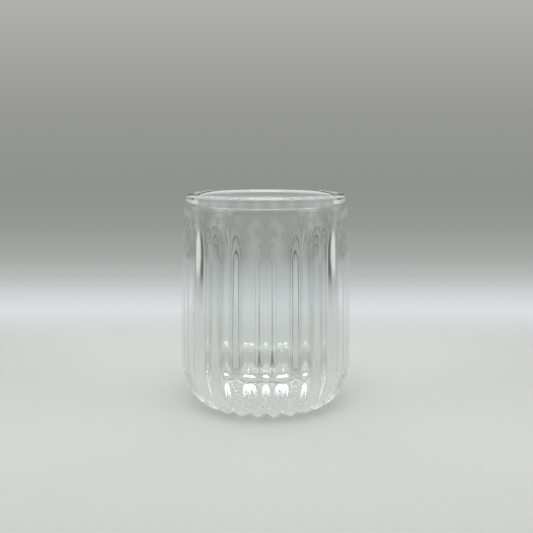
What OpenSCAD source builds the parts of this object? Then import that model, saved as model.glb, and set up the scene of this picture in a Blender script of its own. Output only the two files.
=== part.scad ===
/* [Body] */
// Overall height of the glass
height = 93; // [70:1:130]
// Outside diameter at the widest place, on the crests between the flutes
width = 75; // [62:1:110]
// Height of the widest place above the table
widest_height = 27; // [23:1:40]
// Radius of the wall's gentle barrel, seen from the side
barrel_radius = 800; // [500:50:2000]
// Height where the shoulder under the rim begins
shoulder_height = 85; // [84:1:90]
// Radius of that shoulder, seen from the side
shoulder_radius = 40; // [20:1:80]

/* [Rounded base] */
// Radius of the wide curve where the wall starts to turn under
wide_curve = 27.5; // [20:0.5:32]
// Radius of the tight curve that rolls on into the foot
tight_curve = 12.5; // [8:0.5:16]
// How far the wide curve turns before the tight one takes over, in degrees
wide_turn = 30; // [20:1:40]
// Radius of the flat foot that the flutes die out on
foot_radius = 17; // [14:0.5:18]
// Radius of the shallow recess inside the foot
recess_radius = 13; // [8:0.5:13.5]
// Depth of that recess
recess_depth = 0.8; // [0.2:0.1:1.2]
// Depth ground off the crests where the glass stands
ground_depth = 0.1; // [0.05:0.05:0.3]

/* [Flutes] */
// Number of flutes round the glass
flutes = 24; // [16:1:30]
// Depth of a flute under the crests beside it
flute_depth = 2; // [0.6:0.1:2.1]
// Height where the flutes have died out into the smooth band
flute_top = 83; // [60:1:84]
// Length over which a flute shallows towards its round end
flute_fade = 15; // [8:1:30]
// Width of the ring under the base over which a flute shallows towards the foot
foot_fade = 12; // [6:0.5:14]

/* [Walls] */
// Thickness of the outer shell at the crests
shell_wall = 3; // [2.6:0.1:3.2]
// Thickness of the inner cup's wall and floor
cup_wall = 1.6; // [1:0.1:2]
// Thickness of the rounded rim, where the two walls meet
rim_thickness = 3.6; // [3:0.1:4.2]
// Depth of the joint between the two walls, down from the top of the rim
rim_joint = 4; // [3:0.1:5]
// Height over which the shell thins towards the joint
shell_taper = 10; // [6:0.5:14]

/* [Inner cup] */
// Space between the two walls at the widest place
wall_gap = 3.1; // [2:0.1:6]
// Height of the cup's floor above the table
cup_floor = 16.8; // [12:0.1:22]
// Radius of the round corner between the wall and the floor, inside
cup_corner = 5; // [2:0.5:10]

/* [Vent] */
// Diameter of the vent hole in the middle of the shell's base
vent_diameter = 5; // [3:0.5:8]
// Diameter of the plug's head, under the base
plug_head_diameter = 7; // [5:0.5:12]
// Thickness of the plug's head
plug_head = 0.5; // [0.1:0.1:0.7]

/* [Hidden] */

// Steps round a curve that is turned about the axis
$fn = 96;
// Steps round each flute, and rows along each stretch of the shell's outside
flute_steps = 8;
sole_rows = 3;
tight_rows = 6;
wide_rows = 4;
wall_rows = 3;
fade_rows = 5;
band_rows = 3;
rim_rows = 5;
// Turn at which the rim's outside ends in a flat seam, just short of its top
rim_turn = 85;
// Overrun of a cut past the face that it opens
overrun = 1;

sole = -ground_depth;
shell_floor = sole + shell_wall;
// Inside radius of the cup where its wall meets the floor's round corner
cup_radius = width / 2 - shell_wall - wall_gap - cup_wall;
rim_round = rim_thickness / 2;
rim_base = height - rim_round;
corner_top = sole + wide_curve * sin(wide_turn) + tight_curve * (1 - sin(wide_turn));
fade_start = flute_top - flute_fade;
joint_height = height - rim_joint;
inside_top = joint_height - shell_taper;

// Outside radius of the wall at a height, on the crests
function wall_radius(z) = width / 2 - pow(z - widest_height, 2) / (2 * barrel_radius)
    - pow(max(z - shoulder_height, 0), 2) / (2 * shoulder_radius);

rim_centre = wall_radius(rim_base) - rim_round;
mouth_radius = rim_centre - rim_round;

// Even steps from one value to another, without the first
function steps(from, to, count) = [for (i = [1:count]) from + (to - from) * i / count];

// Centres of the wide curve and of the tight curve that continues it
wide_centre = [wall_radius(corner_top) - wide_curve, corner_top];
tight_centre = wide_centre + (wide_curve - tight_curve) * [cos(wide_turn), -sin(wide_turn)];

// Point on the rounded corner: turned 90 it faces the table, turned 0 it faces outwards
function corner_point(turned, depth) = turned > wide_turn
    ? tight_centre + (tight_curve - depth) * [cos(turned), -sin(turned)]
    : wide_centre + (wide_curve - depth) * [cos(turned), -sin(turned)];

corner_turns = concat([90], steps(90, wide_turn, tight_rows), steps(wide_turn, 0, wide_rows));

function rim_point(turned) = [rim_centre, rim_base] + rim_round * [cos(turned), sin(turned)];

// Rows of the shell's outside, from the sole to the rim: radius, height, turned towards the table
skin_rows = concat(
    [for (i = [0:sole_rows - 1])
        [foot_radius + (tight_centre.x - foot_radius) * i / sole_rows, sole, 90]],
    [for (turned = corner_turns) concat(corner_point(turned, 0), turned)],
    [for (z = concat(
        steps(corner_top, fade_start, wall_rows),
        steps(fade_start, flute_top, fade_rows),
        steps(flute_top, rim_base, band_rows)
    )) [wall_radius(z), z, 0]],
    [for (turned = steps(0, rim_turn, rim_rows)) concat(rim_point(turned), 0)]
);

// How deep a flute is at a row, as a share of its full depth
function flute_share(row) = row[1] > fade_start
    ? max(0, (flute_top - row[1]) / flute_fade)
    : row[2] > wide_turn ? min(1, max(0, (row[0] - foot_radius) / foot_fade)) : 1;

columns = flutes * flute_steps;

function skin_point(row, column) =
    let (
        turn = 360 * column / columns,
        dip = flute_depth * flute_share(row) * (1 + cos(flutes * turn)) / 2,
        radius = row[0] - dip * cos(row[2])
    )
    [radius * sin(turn), -radius * cos(turn), row[1] + dip * sin(row[2])];

// Solid inside the shell's outside, closed flat at the sole and at the top of the rim
module fluted_solid() {
    top = len(skin_rows) - 1;
    points = [for (row = skin_rows, column = [0:columns - 1]) skin_point(row, column)];
    sides = [
        for (r = [0:top - 1], column = [0:columns - 1])
            let (
                a = r * columns + column,
                b = r * columns + (column + 1) % columns
            )
            each [[a, b + columns, b], [a, a + columns, b + columns]]
    ];
    sole_face = [for (column = [0:columns - 1]) column];
    top_face = [for (column = [columns - 1:-1:0]) top * columns + column];
    polyhedron(points = points, faces = concat(sides, [sole_face, top_face]), convexity = 4);
}

// Everything inside the shell: the sealed space, the cup and the inner half of the rim
module shell_inside() {
    rotate_extrude()
        polygon(concat(
            [[0, shell_floor]],
            [for (turned = corner_turns) corner_point(turned, shell_wall)],
            [for (z = steps(corner_top, inside_top, wall_rows + fade_rows))
                [wall_radius(z) - shell_wall, z]],
            [[rim_centre, joint_height], [rim_centre, height + overrun], [0, height + overrun]]
        ));
}

module outer_shell() {
    color("lightcyan", 0.4)
        difference() {
            fluted_solid();
            shell_inside();
            // The crests are ground flat where the glass stands
            translate([0, 0, -overrun])
                cylinder(h = overrun, r = width / 2);
            translate([0, 0, -overrun])
                cylinder(h = recess_depth + overrun, r = recess_radius);
            cylinder(h = shell_wall + overrun, d = vent_diameter);
        }
}

// Thin liner whose wall thickens at the top into the inner half of the rim
module inner_cup() {
    cup_centre = [cup_radius - cup_corner, cup_floor + cup_corner];
    outer_corner = cup_corner + cup_wall;
    color("azure", 0.4)
        rotate_extrude()
            polygon(concat(
                [[0, cup_floor]],
                [for (a = [90:-10:0]) cup_centre + cup_corner * [cos(a), -sin(a)]],
                [for (a = [180:-10:90]) rim_point(a)],
                [[rim_centre, joint_height]],
                [[mouth_radius + cup_wall, joint_height - shell_taper / 2]],
                [for (a = [0:10:90]) cup_centre + outer_corner * [cos(a), -sin(a)]],
                [[0, cup_floor - cup_wall]]
            ));
}

// Plug that closes the vent hole, with its head in the foot's recess
module vent_plug() {
    color("whitesmoke", 0.7) {
        translate([0, 0, recess_depth])
            cylinder(h = shell_floor - recess_depth, d = vent_diameter);
        translate([0, 0, recess_depth - plug_head])
            cylinder(h = plug_head, d = plug_head_diameter);
    }
}

outer_shell();
inner_cup();
vent_plug();
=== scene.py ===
# %% [markdown]
# This lesson dresses a imported CAD model of a double-wall tea glass. The CAD nodes come in first as a fixed frame,
# in metres.

# %% Load the frame
import math

import bpy
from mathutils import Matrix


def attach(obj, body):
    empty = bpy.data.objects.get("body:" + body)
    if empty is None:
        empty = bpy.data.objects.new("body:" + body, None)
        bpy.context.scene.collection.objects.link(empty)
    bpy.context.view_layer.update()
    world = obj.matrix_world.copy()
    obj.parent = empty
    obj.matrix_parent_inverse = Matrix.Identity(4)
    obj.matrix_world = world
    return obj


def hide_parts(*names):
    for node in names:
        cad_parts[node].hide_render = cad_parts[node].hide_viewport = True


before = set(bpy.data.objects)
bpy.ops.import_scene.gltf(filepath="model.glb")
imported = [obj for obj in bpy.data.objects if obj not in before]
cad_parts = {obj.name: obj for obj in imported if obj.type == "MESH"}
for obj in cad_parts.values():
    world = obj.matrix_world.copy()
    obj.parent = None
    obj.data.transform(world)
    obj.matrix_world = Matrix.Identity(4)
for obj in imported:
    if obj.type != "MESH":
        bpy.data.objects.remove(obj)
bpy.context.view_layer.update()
print("nodes:", sorted(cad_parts))

# %% [markdown]
# Colours are written as the hex codes that a paint chart gives. Shaders count in linear light, so one function turns
# them. A second one adds a shader node with its settings and links, which keeps each material short and readable, and a
# third one gives a pattern its scale from a real size.

# %% Colour and node helpers
MM = 0.001


def paint(code):
    """Linear colour of an sRGB hex code."""
    parts = [int(code[i:i + 2], 16) / 255 for i in (1, 3, 5)]
    return [v / 12.92 if v <= 0.04045 else ((v + 0.055) / 1.055) ** 2.4 for v in parts] + [1.0]


def add(tree, kind, settings=None, **inputs):
    """Adds a node. settings are its properties; inputs are sockets by name, each a value or another node's output."""
    node = tree.nodes.new("ShaderNode" + kind)
    for key, value in (settings or {}).items():
        setattr(node, key, value)
    for key, value in inputs.items():
        socket = node.inputs[int(key[1:]) if key[1:].isdigit() else key.replace("_", " ")]
        if isinstance(value, bpy.types.NodeSocket):
            tree.links.new(value, socket)
        else:
            socket.default_value = value
    return node


def pattern_scale(size):
    """Scale of a noise whose spots measure this size in mm."""
    return 1 / (size * MM)


def new_material(name):
    """An empty material and its node tree."""
    material = bpy.data.materials.new(name)
    material.use_nodes = True
    material.node_tree.nodes.clear()
    return material, material.node_tree


print("white in linear light:", paint("#FFFFFF")[:3])

# %% [markdown]
# The camera stands where the photographer stood. A camera fitted to the ellipses of the rim, the widest line and the
# foot gave its distance, height and tilt, and the lens follows from how fast the glass narrows with distance.

# %% Camera
DISTANCE = 330.0 * MM
EYE_HEIGHT = 109.5 * MM
TILT = 8.46
FOCAL_PIXELS = 755.0
FRAME_PIXELS = 533.0
AXIS_PIXEL = 265.8

camera = bpy.data.objects.new("camera", bpy.data.cameras.new("camera"))
bpy.context.scene.collection.objects.link(camera)
camera.location = (0, -DISTANCE, EYE_HEIGHT)
camera.rotation_euler = (math.radians(90 - TILT), 0, 0)
camera.data.sensor_width = 36
camera.data.lens = FOCAL_PIXELS / FRAME_PIXELS * 36
camera.data.shift_x = (FRAME_PIXELS / 2 - AXIS_PIXEL) / FRAME_PIXELS
camera.data.clip_start = 0.01
bpy.context.scene.camera = camera
bpy.context.scene.view_settings.view_transform = "Standard"
print("lens in mm:", round(camera.data.lens, 1))

# %% [markdown]
# Light can be mirrored inside a fluted wall many times, so reflections get a long budget. Crossings of a surface get
# eleven: what would need more stays dark, as light that is lost in real glass, and that draws the fine dark outlines of
# the arches that the photo shows.

# %% Long light paths
paths = bpy.context.scene.cycles
paths.max_bounces, paths.transmission_bounces, paths.glossy_bounces = 32, 11, 24
paths.diffuse_bounces, paths.transparent_max_bounces = 3, 32
print("reflections:", paths.glossy_bounces, "crossings:", paths.transmission_bounces)

# %% [markdown]
# A clear glass has almost no colour of its own: what we see is its surroundings, bent. So the room comes before the
# glass. It is one sheet, a table that sweeps up into a far wall, as in a studio. Its rings are rounded rectangles, so
# the horizon looks straight from the front.

# %% Studio sheet
FLAT_TO = 0.73
SWEEP = 0.30
WALL_TOP = 1.3
STRETCH = 1.35
ROUNDNESS = 6
SHEET_STEPS, FLAT_RINGS, WALL_RINGS = 144, 40, 8


def sheet_profile():
    """Places along the sheet from its centre: distance out, height."""
    flat = [(FLAT_TO * i / FLAT_RINGS, 0.0) for i in range(FLAT_RINGS + 1)]
    bend = [(FLAT_TO + SWEEP * math.sin(math.radians(a)), SWEEP * (1 - math.cos(math.radians(a))))
            for a in range(5, 95, 5)]
    wall = [(FLAT_TO + SWEEP, SWEEP + (WALL_TOP - SWEEP) * i / WALL_RINGS) for i in range(1, WALL_RINGS + 1)]
    return flat + bend + wall


def ring_reach(turn):
    """How far a rounded rectangle of unit depth reaches in a direction."""
    side, ahead = abs(math.sin(turn)) / STRETCH, abs(math.cos(turn))
    return (side ** ROUNDNESS + ahead ** ROUNDNESS) ** (-1 / ROUNDNESS)


def build_mesh(name, verts, faces):
    """A smooth mesh object from points and faces, in the scene."""
    mesh = bpy.data.meshes.new(name)
    mesh.from_pydata(verts, [], faces)
    mesh.polygons.foreach_set("use_smooth", [True] * len(mesh.polygons))
    mesh.update()
    thing = bpy.data.objects.new(name, mesh)
    bpy.context.scene.collection.objects.link(thing)
    return thing


profile = sheet_profile()
turns = [2 * math.pi * k / SHEET_STEPS for k in range(SHEET_STEPS)]
sheet_points = [(out * ring_reach(turn) * math.sin(turn), -out * ring_reach(turn) * math.cos(turn), height)
                for out, height in profile[1:] for turn in turns] + [(0.0, 0.0, 0.0)]
centre = len(sheet_points) - 1
rings = len(profile) - 1
sheet_faces = []
for i in range(rings - 1):
    for k in range(SHEET_STEPS):
        low, following = i * SHEET_STEPS, (k + 1) % SHEET_STEPS
        sheet_faces.append((low + k, low + following, low + SHEET_STEPS + following, low + SHEET_STEPS + k))
sheet_faces += [(centre, (k + 1) % SHEET_STEPS, k) for k in range(SHEET_STEPS)]
sheet = build_mesh("studio_sheet", sheet_points, sheet_faces)
print("sheet:", rings, "rings,", len(sheet_faces), "faces")

# %% [markdown]
# The paint on the sheet has to know where it is, so the sheet carries numbers at its points: how far along it we are
# from the centre, in metres, and how much we are at the side or the front of the room. At each side a pale stripe and a
# dark stripe are painted beside each other, where photographers set a card and a flag to draw edges on glass: painted
# light and painted shade.

# %% Places on the sheet
SIDE_FROM, SIDE_FADE = 45, 30
FRONT_FROM, FRONT_FADE = 115, 25
SIDES_FADE = 0.5
# The card and the flag are stripes of painted light and painted shade: degrees from the back, then metres along the
# sheet.
PAINTED_CARD_SPAN, PAINTED_FLAG_SPAN = (64, 71), (74, 79)
PAINTED_STRIPES_FROM, PAINTED_STRIPES_FADE = 0.30, 0.12


def share(value, start, span):
    """How far a value is into a span, from 0 to 1."""
    return min(1.0, max(0.0, (value - start) / span))


lengths = [0.0]
for last, place in zip(profile, profile[1:]):
    lengths.append(lengths[-1] + math.dist(last, place))
marks = {"path": [], "side": [], "front": [], "painted_card": [], "painted_flag": []}
for length in lengths[1:]:
    for k in range(SHEET_STEPS):
        from_back = abs(180 - 360 * k / SHEET_STEPS)
        outer, painted_stripes_share = share(length, 0.0, SIDES_FADE), share(length, PAINTED_STRIPES_FROM, PAINTED_STRIPES_FADE)
        marks["path"].append(length)
        marks["side"].append(share(from_back, SIDE_FROM, SIDE_FADE) * outer)
        marks["front"].append(share(from_back, FRONT_FROM, FRONT_FADE) * outer)
        marks["painted_card"].append(painted_stripes_share if PAINTED_CARD_SPAN[0] < from_back < PAINTED_CARD_SPAN[1] else 0.0)
        marks["painted_flag"].append(painted_stripes_share if PAINTED_FLAG_SPAN[0] < from_back < PAINTED_FLAG_SPAN[1] else 0.0)
for name, values in marks.items():
    sheet.data.attributes.new(name, "FLOAT", "POINT").data.foreach_set("value", values + [0.0])
print("the sheet is", round(lengths[-1], 2), "m long from its centre")

# %% [markdown]
# The photo's table is pale grey paper. It is brightest a hand's width behind the glass and falls off towards the wall.
# We paint that fall-off along the sheet, as a lamp's pool of light would leave it. Near the glass the paper is matt and
# catches the shadow for the camera, while mirrors and glass see it glow with almost its painted brightness, painted
# light in place of its shadow. Further out it shows its painted brightness straight, to the camera, to mirrors and
# through glass.
# The sides and the front of the room are a middle grey, which gives the glass's edges their grey streaks. Only the
# glass sees the card and flag stripes, painted light and painted shade that lie out of the frame.
#
# Paper's fibres are a few hundredths of a millimetre wide. They are drawn as spots of about a millimetre, so that they
# show at all, as a very faint grain.

# %% Paper finish, painted light and painted shade
# Each pair is a place along the sheet, in metres from its centre, and the tone painted there: the paper's plain tone on
# the table, a painted pool of lamp light, its soft edge, and painted shade on the wall that is darkest at its foot.
PAPER_AND_PAINTED_LIGHT_TONES = [(0.12, "#D0D1CF"), (0.20, "#DCE0E1"), (0.34, "#B9BBBA"), (0.46, "#A7A9A7"), (0.92, "#90928E"),
               (1.08, "#979894"), (1.28, "#B0B1AD")]
ROOM_TONES = [("side", "#A0A1A0"), ("front", "#BCBDBC")]
# The card is a stripe of painted light and the flag a stripe of painted shade, seen only by glass and mirrors.
PAINTED_CARD_AND_FLAG_TONES = [("painted_card", "#D8DAD8"), ("painted_flag", "#626362")]
LONGEST = 2.4
MATT_TO, PLAIN_FROM = 0.10, 0.19
# Near the glass, mirrors and glass still see the paper glow with this share of its painted brightness: painted light in
# place of the shadow.
NEAR_GLOW_TO_GLASS = 0.95
FIBRE = 1.111

paper, tree = new_material("pale_grey_paper_painted_light_and_shade")
place = add(tree, "Attribute", {"attribute_name": "path"})
scaled = add(tree, "Math", {"operation": "DIVIDE"}, _0=place.outputs["Fac"], _1=LONGEST)
# The ramp paints the pool of lamp light, and the shade at the wall's foot, into the paper's tone.
fall = add(tree, "ValToRGB", Fac=scaled.outputs[0])
ramp = fall.color_ramp.elements
for stop, (at, code) in enumerate(PAPER_AND_PAINTED_LIGHT_TONES):
    spot = ramp.new(at / LONGEST) if 0 < stop < len(PAPER_AND_PAINTED_LIGHT_TONES) - 1 else ramp[-1 if stop else 0]
    spot.position, spot.color = at / LONGEST, paint(code)
rays = add(tree, "LightPath")
bent = add(tree, "Math", {"operation": "MAXIMUM"}, _0=rays.outputs["Is Glossy Ray"],
           _1=rays.outputs["Is Transmission Ray"])
tone = fall.outputs["Color"]
# The room's grey sides and front are mixed in, then the card and flag stripes of painted light and shade, for glossy
# and transmission rays only.
for name, code in ROOM_TONES + PAINTED_CARD_AND_FLAG_TONES:
    amount = add(tree, "Attribute", {"attribute_name": name}).outputs["Fac"]
    if (name, code) in PAINTED_CARD_AND_FLAG_TONES:
        amount = add(tree, "Math", {"operation": "MULTIPLY"}, _0=amount, _1=bent.outputs[0]).outputs[0]
    tone = add(tree, "Mix", {"data_type": "RGBA"}, _0=amount, _6=tone, _7=paint(code)).outputs[2]
fibre = add(tree, "TexNoise", Scale=pattern_scale(FIBRE), Detail=4.0)
grain = add(tree, "MapRange", Value=fibre.outputs["Fac"], _3=0.985, _4=1.015)
speckled = add(tree, "VectorMath", {"operation": "SCALE"}, _0=tone, Scale=grain.outputs["Result"])
matt = add(tree, "BsdfDiffuse", Color=speckled.outputs[0])
glow = add(tree, "Emission", Color=speckled.outputs[0], Strength=1.0)
far = add(tree, "MapRange", {"interpolation_type": "SMOOTHSTEP"}, Value=place.outputs["Fac"], _1=MATT_TO, _2=PLAIN_FROM)
direct = add(tree, "Math", {"operation": "MULTIPLY"}, _0=rays.outputs["Is Camera Ray"], _1=far.outputs["Result"])
plain = add(tree, "MapRange", Value=far.outputs["Result"], _3=NEAR_GLOW_TO_GLASS, _4=1.0)
through = add(tree, "Math", {"operation": "MULTIPLY"}, _0=bent.outputs[0], _1=plain.outputs["Result"])
shown = add(tree, "Math", {"operation": "MAXIMUM"}, _0=direct.outputs[0], _1=through.outputs[0])
mixed = add(tree, "MixShader", _0=shown.outputs[0], _1=matt.outputs[0], _2=glow.outputs[0])
add(tree, "OutputMaterial", Surface=mixed.outputs[0])
sheet.data.materials.append(paper)
print("brightest place behind the glass:", max(PAPER_AND_PAINTED_LIGHT_TONES, key=lambda pair: pair[1])[0], "m from its axis")

# %% [markdown]
# The light is soft and comes mostly from a white room, which leaves only a faint shadow. A softbox hangs over the
# camera's side of the table: it draws the row of white blocks in the base and the white lines on the rim. Two narrow
# softboxes left and right add a little sparkle to the edges.

# %% Lights
def softbox(name, place, target, size, power):
    """A soft rectangle of light that faces a point."""
    light = bpy.data.lights.new(name, "AREA")
    light.shape = "RECTANGLE"
    light.size, light.size_y = size
    light.energy = power
    lamp = bpy.data.objects.new(name, light)
    lamp.location = place
    aim = [t - p for t, p in zip(target, place)]
    lamp.rotation_euler = (math.acos(-aim[2] / math.hypot(*aim)), 0, math.atan2(aim[1], aim[0]) - math.pi / 2)
    lamp.visible_camera = False
    bpy.context.scene.collection.objects.link(lamp)
    return lamp


lamps = [softbox("overhead", (0, -0.22, 0.65), (0, 0, 0), (0.36, 0.30), 1.9)]
for name, across in (("left", -0.55), ("right", 0.55)):
    lamps.append(softbox(name, (across, -0.22, 0.26), (0, 0, 0.04), (0.16, 0.50), 0.3))

world = bpy.data.worlds.new("white_room")
bpy.context.scene.world = world
world.use_nodes = True
room = world.node_tree.nodes["Background"].inputs
room["Color"].default_value, room["Strength"].default_value = paint("#F4F5F5"), 1.3
print("lamps:", [lamp.name for lamp in lamps])

# %% [markdown]
# The glass itself: the numbers below are the CAD model's, in millimetres. The wall is one long arc, so it swells
# gently, and a wide and a tight arc roll it under to the foot. Only the rim is a trace rounder than the CAD's, and the
# air gap ends in a softer tip under it. Edges that the CAD leaves sharp get a small bevel, and the plug a hair of play.

# %% Sizes of the glass
HEIGHT, WIDTH = 93.0, 75.0
WIDEST, BARREL = 27.0, 800.0
SHOULDER, SHOULDER_RADIUS = 85.0, 40.0
WIDE_CURVE, TIGHT_CURVE, WIDE_TURN = 27.5, 12.5, 30.0
FOOT_RADIUS, RECESS_RADIUS, RECESS, GROUND = 17.0, 13.0, 0.8, 0.1
FLUTES, FLUTE_DEPTH = 24, 2.0
FLUTE_TOP, FLUTE_FADE, FOOT_FADE = 83.0, 15.0, 12.0
SHELL, CUP_WALL, RIM = 3.0, 1.6, 4.0
CUP_RADIUS, CUP_FLOOR, CUP_CORNER = 29.8, 16.8, 5.0
VENT, PLUG_HEAD, PLUG_HEAD_THICK = 5.0, 7.0, 0.5
GAP_TOP, GAP_TAPER, NECK, CUP_NECK = 88.0, 14.0, 2.4, 1.4
NECK_DOWN, TIP_DOWN, SHELL_TIP, CUP_TIP = 4.0, 0.5, 0.3, 0.25
FLOOR_RING = 12.0
EDGE, PLUG_PLAY = 0.15, 0.02


def wall_radius(z):
    """Outside radius on the crests."""
    return WIDTH / 2 - (z - WIDEST) ** 2 / (2 * BARREL) - max(z - SHOULDER, 0) ** 2 / (2 * SHOULDER_RADIUS)


RIM_ROUND = RIM / 2
RIM_BASE = HEIGHT - RIM_ROUND
RIM_CENTRE = wall_radius(RIM_BASE) - RIM_ROUND
turned = math.radians(WIDE_TURN)
CORNER_TOP = -GROUND + WIDE_CURVE * math.sin(turned) + TIGHT_CURVE * (1 - math.sin(turned))
wide_centre = (wall_radius(CORNER_TOP) - WIDE_CURVE, CORNER_TOP)
tight_centre = (wide_centre[0] + (WIDE_CURVE - TIGHT_CURVE) * math.cos(turned),
                wide_centre[1] - (WIDE_CURVE - TIGHT_CURVE) * math.sin(turned))


def corner_point(angle, depth=0.0):
    """Point on the rounded corner; 90 degrees faces the table and 0 faces outwards."""
    (r, z), curve = (tight_centre, TIGHT_CURVE) if angle > WIDE_TURN else (wide_centre, WIDE_CURVE)
    return (r + (curve - depth) * math.cos(math.radians(angle)), z - (curve - depth) * math.sin(math.radians(angle)))


def arc(centre, radius, start, end, count):
    """Points on an arc, its angle counted from outwards towards up."""
    return [(centre[0] + radius * math.cos(math.radians(start + (end - start) * i / count)),
             centre[1] + radius * math.sin(math.radians(start + (end - start) * i / count)))
            for i in range(count + 1)]


def between(start, end, count):
    """Even steps from one point to another, without the first."""
    return [tuple(s + (e - s) * i / count for s, e in zip(start, end)) for i in range(1, count + 1)]


def smooth_run(points, count):
    """A smooth curve through points, in even shares of each span."""
    run = []
    for i in range(len(points) - 1):
        a, b, c, d = points[max(i - 1, 0)], points[i], points[i + 1], points[min(i + 2, len(points) - 1)]
        for j in range(count):
            t = j / count
            run.append(tuple(0.5 * (2 * q + (r - p) * t + (2 * p - 5 * q + 4 * r - s) * t * t
                                    + (3 * q - p - 3 * r + s) * t ** 3) for p, q, r, s in zip(a, b, c, d)))
    return run + [points[-1]]


print("rim centre at", round(RIM_CENTRE, 2), "mm; corner from z =", round(CORNER_TOP, 2), "mm")

# %% [markdown]
# The flutes are one even wave round the wall, a flute centred at the front. Their depth fades out at the top, where
# each one ends in a lancet arch, and towards the flat foot. The slopes of the wave are worked out here as well, because
# the normals come from them: glass shows every fault in its shading.

# %% Shape of a flute
STEPS = 20


def flute_depth(r, z):
    """Depth of the flutes in mm at a place on the profile."""
    if z > FLUTE_TOP - FLUTE_FADE:
        return FLUTE_DEPTH * max(0.0, (FLUTE_TOP - z) / FLUTE_FADE)
    return FLUTE_DEPTH * (min(1.0, max(0.0, (r - FOOT_RADIUS) / FOOT_FADE)) if z < TIGHT_CURVE else 1.0)


def wave_at(turn):
    """The wave at a turning angle, from 0 on a crest to 1 in a flute, and its slope."""
    return 0.5 + 0.5 * math.cos(FLUTES * turn), -0.5 * FLUTES * math.sin(FLUTES * turn)


print("a flute is", round(2 * math.pi * WIDTH / 2 / FLUTES, 2), "mm wide at the widest place")

# %% [markdown]
# A piece of revolution is a closed loop of (radius, height) points carried round the axis. To shade it well we need to
# know which way the wall faces at each point, and a seam that lies inside the glass must not bend that.

# %% Which way the wall faces
def slopes(loop, seam):
    """Outward direction of a closed loop at each point, from its neighbours. The spans in seam don't count."""
    found = []
    for i, (r, z) in enumerate(loop):
        (ra, za), (rb, zb) = loop[i - 1], loop[(i + 1) % len(loop)]
        before = (z - za, ra - r)
        after = (zb - z, r - rb)
        if i in seam:
            after = before
        elif (i - 1) % len(loop) in seam:
            before = after
        size_before, size_after = math.hypot(*before) or 1.0, math.hypot(*after) or 1.0
        mixed = [b / size_before * size_after + a / size_after * size_before for b, a in zip(before, after)]
        length = math.hypot(*mixed) or 1.0
        found.append((mixed[0] / length, mixed[1] / length))
    return found


print("a square's first corner faces", [round(v, 2) for v in slopes([(0, 0), (1, 0), (1, 1), (0, 1)], ())[0]])

# %% [markdown]
# Now the turning. A lathe or a screw modifier could do it for a plain profile. Here each point of the shell's outside
# also moves in by the flute's depth, at right angles to the wall, so the mesh and its normals are worked out in code.

# %% Turning a loop into a mesh
SLOPE_STEP = 0.05


def turned_loop(name, loop, around, fluted=0, seam=()):
    """Closed loop of (radius, height) points round the axis, outside first and anticlockwise. The first `fluted` rows
    take flutes. The faces of the spans in seam are listed. A point at radius 0 closes the piece there."""
    verts, faces, seam_faces, rows, normals = [], [], [], [], []
    outward = slopes(loop, seam)
    for i, (r, z) in enumerate(loop):
        out_r, out_z = outward[i]
        if r < 1e-6:
            rows.append([len(verts)] * around)
            verts.append((0.0, 0.0, z * MM))
            normals.append((0.0, 0.0, 1.0 if out_z > 0 else -1.0))
            continue
        rows.append(list(range(len(verts), len(verts) + around)))
        depth, rise = 0.0, 0.0
        if i < fluted:
            along_r, along_z = -out_z * SLOPE_STEP, out_r * SLOPE_STEP
            depth = flute_depth(r, z)
            rise = (flute_depth(r + along_r, z + along_z) - flute_depth(r - along_r, z - along_z)) / (2 * SLOPE_STEP)
        for k in range(around):
            turn = 2 * math.pi * k / around
            wave, slope = wave_at(turn)
            rr, zz = r - out_r * depth * wave, z - out_z * depth * wave
            up = rise * wave
            verts.append((rr * math.sin(turn) * MM, -rr * math.cos(turn) * MM, max(zz, 0.0) * MM))
            n_r, n_z, n_t = out_r - out_z * up, out_z + out_r * up, depth * slope / r
            if zz < 0.0:  # a crest that is ground flat
                n_r, n_z, n_t = 0.0, -1.0, 0.0
            size = math.sqrt(n_r ** 2 + n_z ** 2 + n_t ** 2)
            n_r, n_z, n_t = n_r / size, n_z / size, n_t / size
            normals.append((n_r * math.sin(turn) + n_t * math.cos(turn),
                            -n_r * math.cos(turn) + n_t * math.sin(turn), n_z))
    for i in range(len(loop)):
        low, high = rows[i], rows[(i + 1) % len(loop)]
        for k in range(around):
            j = (k + 1) % around
            face = [low[k], low[j], high[j], high[k]]
            face = [v for n, v in enumerate(face) if v != face[n - 1]]
            if len(set(face)) > 2:
                if i in seam:
                    seam_faces.append(len(faces))
                faces.append(face)
    piece = build_mesh(name, verts, faces)
    piece.data.normals_split_custom_set_from_vertices(normals)
    return piece, seam_faces


print("steps round the shell:", FLUTES * STEPS)

# %% [markdown]
# First the outer shell. Its loop starts at the foot, runs under the corner and up the wall to the top of the rim,
# goes down the seam where it is fused to the cup, and comes back down its smooth inside to the vent hole.

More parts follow.
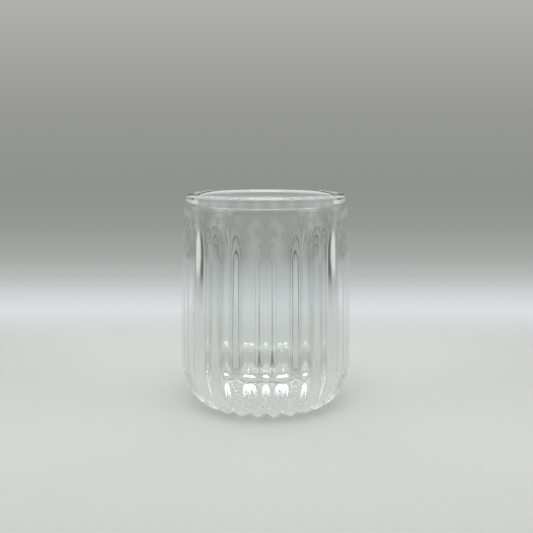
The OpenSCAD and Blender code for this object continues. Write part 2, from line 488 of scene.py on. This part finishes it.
# %% Outer shell
outside = [(RECESS_RADIUS + EDGE, 0.0)] + between((RECESS_RADIUS + EDGE, 0.0), (FOOT_RADIUS, 0.0), 2)
outside += between((FOOT_RADIUS, -GROUND), (tight_centre[0], -GROUND), 14)
outside += [corner_point(angle) for (angle,) in between((90,), (WIDE_TURN,), 24) + between((WIDE_TURN,), (0,), 12)]
fade_start = FLUTE_TOP - FLUTE_FADE
for low, high, count in ((CORNER_TOP, fade_start, 14), (fade_start, FLUTE_TOP, 20), (FLUTE_TOP, RIM_BASE, 8)):
    outside += [(wall_radius(z), z) for (z,) in between((low,), (high,), count)]
fluted_rows = len(outside)
outside += arc((RIM_CENTRE, RIM_BASE), RIM_ROUND, 0, 90, 10)[1:]
seam_span = len(outside) - 1
gap_shoulder = GAP_TOP - GAP_TAPER
shell_inside = [(RIM_CENTRE, GAP_TOP)]
shell_inside += smooth_run([(RIM_CENTRE, GAP_TOP), (RIM_CENTRE + SHELL_TIP, GAP_TOP - TIP_DOWN),
                            (wall_radius(GAP_TOP - NECK_DOWN) - NECK, GAP_TOP - NECK_DOWN),
                            (wall_radius(gap_shoulder) - SHELL, gap_shoulder)], 8)[1:]
shell_inside += [(wall_radius(z) - SHELL, z) for (z,) in between((gap_shoulder,), (CORNER_TOP,), 16)]
shell_inside += [corner_point(angle, SHELL) for (angle,) in between((0,), (WIDE_TURN,), 10)]
shell_inside += [corner_point(angle, SHELL) for (angle,) in between((WIDE_TURN,), (90,), 20)]
floor_height = SHELL - GROUND
shell_inside += [(FLOOR_RING, floor_height), (VENT / 2, floor_height), (VENT / 2, RECESS)]
recess_edge = [(RECESS_RADIUS - EDGE, RECESS), (RECESS_RADIUS, RECESS - EDGE), (RECESS_RADIUS, EDGE)]
shell_loop = outside + shell_inside + recess_edge
shell_mesh, shell_seam = turned_loop("outer_shell_glass", shell_loop, FLUTES * STEPS, fluted_rows, (seam_span,))
print("shell faces:", len(shell_mesh.data.polygons))

# %% [markdown]
# The inner cup is a thin liner. It shares the seam with the shell, and its floor hangs a finger above the table. Its
# walls are drawn as smooth runs through a few places: they stand almost straight and lean out a little to the mouth.

# %% Inner cup
WAIST, SHOULDER_LOW, SHOULDER_HIGH = 55.0, 76.0, 84.0
OUTER_LEAN, INNER_LEAN, OUTER_TUCK, INNER_SWELL = 0.55, 0.5, 0.2, 0.12
cup_centre = (CUP_RADIUS - CUP_CORNER, CUP_FLOOR + CUP_CORNER)
mouth = RIM_CENTRE - RIM_ROUND
cup_outer = CUP_CORNER + CUP_WALL
cup_loop = [(0.0, CUP_FLOOR - CUP_WALL), (FLOOR_RING, CUP_FLOOR - CUP_WALL)]
cup_loop += arc(cup_centre, cup_outer, -90, 0, 16)
cup_loop += smooth_run([(CUP_RADIUS + CUP_WALL, cup_centre[1]), (CUP_RADIUS + CUP_WALL + OUTER_LEAN, WAIST),
                        (mouth + CUP_WALL - OUTER_TUCK, SHOULDER_LOW), (mouth + CUP_NECK, GAP_TOP - NECK_DOWN),
                        (RIM_CENTRE - CUP_TIP, GAP_TOP - TIP_DOWN), (RIM_CENTRE, GAP_TOP)], 8)[1:]
cup_seam_span = len(cup_loop) - 1
cup_loop += arc((RIM_CENTRE, RIM_BASE), RIM_ROUND, 90, 180, 10)
cup_loop += smooth_run([(mouth, RIM_BASE), (mouth - INNER_SWELL, SHOULDER_HIGH), (CUP_RADIUS + INNER_LEAN, WAIST),
                        (CUP_RADIUS, cup_centre[1])], 10)[1:]
cup_loop += arc(cup_centre, CUP_CORNER, 0, -90, 16)[1:]
cup_loop += [(FLOOR_RING, CUP_FLOOR), (0.0, CUP_FLOOR)]
cup_mesh, cup_seam = turned_loop("inner_cup_glass", cup_loop, FLUTES * 8, 0, (cup_seam_span,))
print("cup faces:", len(cup_mesh.data.polygons))

# %% [markdown]
# The vent plug is a small clear silicone stopper: a stem in the hole and a thin rounded head in the foot's recess.

# %% Vent plug
PLUG_MIDDLE = 1.5
head_low = RECESS - PLUG_HEAD_THICK
head_top = RECESS - PLUG_PLAY
stem = VENT / 2 - PLUG_PLAY
plug_loop = [(0.0, head_low), (PLUG_MIDDLE, head_low)]
plug_loop += arc((PLUG_HEAD / 2 - EDGE, head_low + EDGE), EDGE, -90, 0, 4)
plug_loop += arc((PLUG_HEAD / 2 - EDGE, RECESS - EDGE - PLUG_PLAY), EDGE, 0, 90, 4)
plug_loop += [(stem, head_top), (stem, floor_height - EDGE), (stem - EDGE, floor_height), (0.0, floor_height)]
plug_mesh, _ = turned_loop("vent_plug_silicone", plug_loop, 48)
print("plug faces:", len(plug_mesh.data.polygons))

# %% [markdown]
# Borosilicate glass, blown and polished by the flame: clear, IOR 1.47, and mirror smooth. Blown glass is never quite
# even, so a long faint ripple in the bump lets the edges of reflections wander. It is one to two centimetres wide, as
# hands and flame leave it, and drawn out along the wall. A trace of haze keeps the highlights from looking painted on.
# Shadow rays pass with a small loss at each surface, because a clear glass lets most of the lamp's light through to the
# table.

# %% Glass finish
SHADE = "#F2F4F3"
GLASS_IOR = 1.47
HAZE_SPOT, MOST_HAZE = 16.667, 0.02
RIPPLE_DEPTH, DRAWN_OUT = 0.2 * MM, 0.35


def blown_glass(name, ripple_size, ripple, tint):
    """Clear glass with its own ripple, its size in mm, and a trace of colour."""
    material, tree = new_material(name)
    where = add(tree, "TexCoord")
    stretched = add(tree, "Mapping", Vector=where.outputs["Object"], Scale=(1.0, 1.0, DRAWN_OUT))
    wave = add(tree, "TexNoise", Vector=stretched.outputs[0], Scale=pattern_scale(ripple_size), Detail=2.0,
               Roughness=0.4)
    bump = add(tree, "Bump", Height=wave.outputs["Fac"], Strength=ripple, Distance=RIPPLE_DEPTH)
    haze = add(tree, "TexNoise", Vector=where.outputs["Object"], Scale=pattern_scale(HAZE_SPOT), Detail=3.0)
    polish = add(tree, "MapRange", Value=haze.outputs["Fac"], _1=0.35, _2=0.75, _3=0.0, _4=MOST_HAZE)
    body = add(tree, "BsdfPrincipled", Base_Color=paint(tint), Roughness=polish.outputs["Result"], IOR=GLASS_IOR,
               Transmission_Weight=1.0, Normal=bump.outputs[0])
    rays = add(tree, "LightPath")
    passed = add(tree, "BsdfTransparent", Color=paint(SHADE))
    mixed = add(tree, "MixShader", _0=rays.outputs["Is Shadow Ray"], _1=body.outputs[0], _2=passed.outputs[0])
    add(tree, "OutputMaterial", Surface=mixed.outputs[0])
    return material


shell_glass = blown_glass("blown_borosilicate_shell", 11.111, 0.12, "#FBFDFC")
cup_glass = blown_glass("blown_borosilicate_cup", 16.667, 0.08, "#FCFDFD")
print("glass finishes:", shell_glass.name, cup_glass.name)

# %% [markdown]
# Where the two walls are fused, there is no surface in the real glass: light goes straight on. Each piece stays a
# closed mesh, and the faces of the seam get a finish that lets light pass unbent, and that makes it look like one rim.

# %% Fused seam
fused, tree = new_material("fused_seam")
clear = add(tree, "BsdfTransparent", Color=paint("#FFFFFF"))
add(tree, "OutputMaterial", Surface=clear.outputs[0])
for piece, finish, seam_faces in ((shell_mesh, shell_glass, shell_seam), (cup_mesh, cup_glass, cup_seam)):
    piece.data.materials.append(finish)
    piece.data.materials.append(fused)
    for index in seam_faces:
        piece.data.polygons[index].material_index = 1
print("seam faces:", len(shell_seam), len(cup_seam))

# %% [markdown]
# Silicone rubber, moulded: translucent and milky, softly shiny, with the fine mottle of its mould. The real mottle is
# a few hundredths of a millimetre wide. It is drawn as coarse as it needs to be to show on a piece this small.

# %% Silicone finish
SILICONE_IOR = 1.41
MOTTLE, MOTTLE_DEPTH = 0.6667, 0.05 * MM
silicone, tree = new_material("moulded_silicone")
where = add(tree, "TexCoord")
mottle = add(tree, "TexNoise", Vector=where.outputs["Object"], Scale=pattern_scale(MOTTLE), Detail=3.0)
sheen = add(tree, "MapRange", Value=mottle.outputs["Fac"], _3=0.28, _4=0.42)
bump = add(tree, "Bump", Height=mottle.outputs["Fac"], Strength=0.08, Distance=MOTTLE_DEPTH)
body = add(tree, "BsdfPrincipled", Base_Color=paint("#EFF2F1"), Roughness=sheen.outputs["Result"], IOR=SILICONE_IOR,
           Transmission_Weight=0.85, Normal=bump.outputs[0])
add(tree, "OutputMaterial", Surface=body.outputs[0])
plug_mesh.data.materials.append(silicone)
print("mottle spots in mm:", MOTTLE)

# %% [markdown]
# Each piece rides on the glass's one body and stands for its CAD node.

# %% Pieces on the frame
for piece, node, slot in ((shell_mesh, "outer_shell", "shell_glass"), (cup_mesh, "inner_cup", "cup_glass"),
                          (plug_mesh, "vent_plug", "plug_silicone")):
    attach(piece, "root")
    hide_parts(node)
    print(piece.name, "stands for", node, "with", slot)
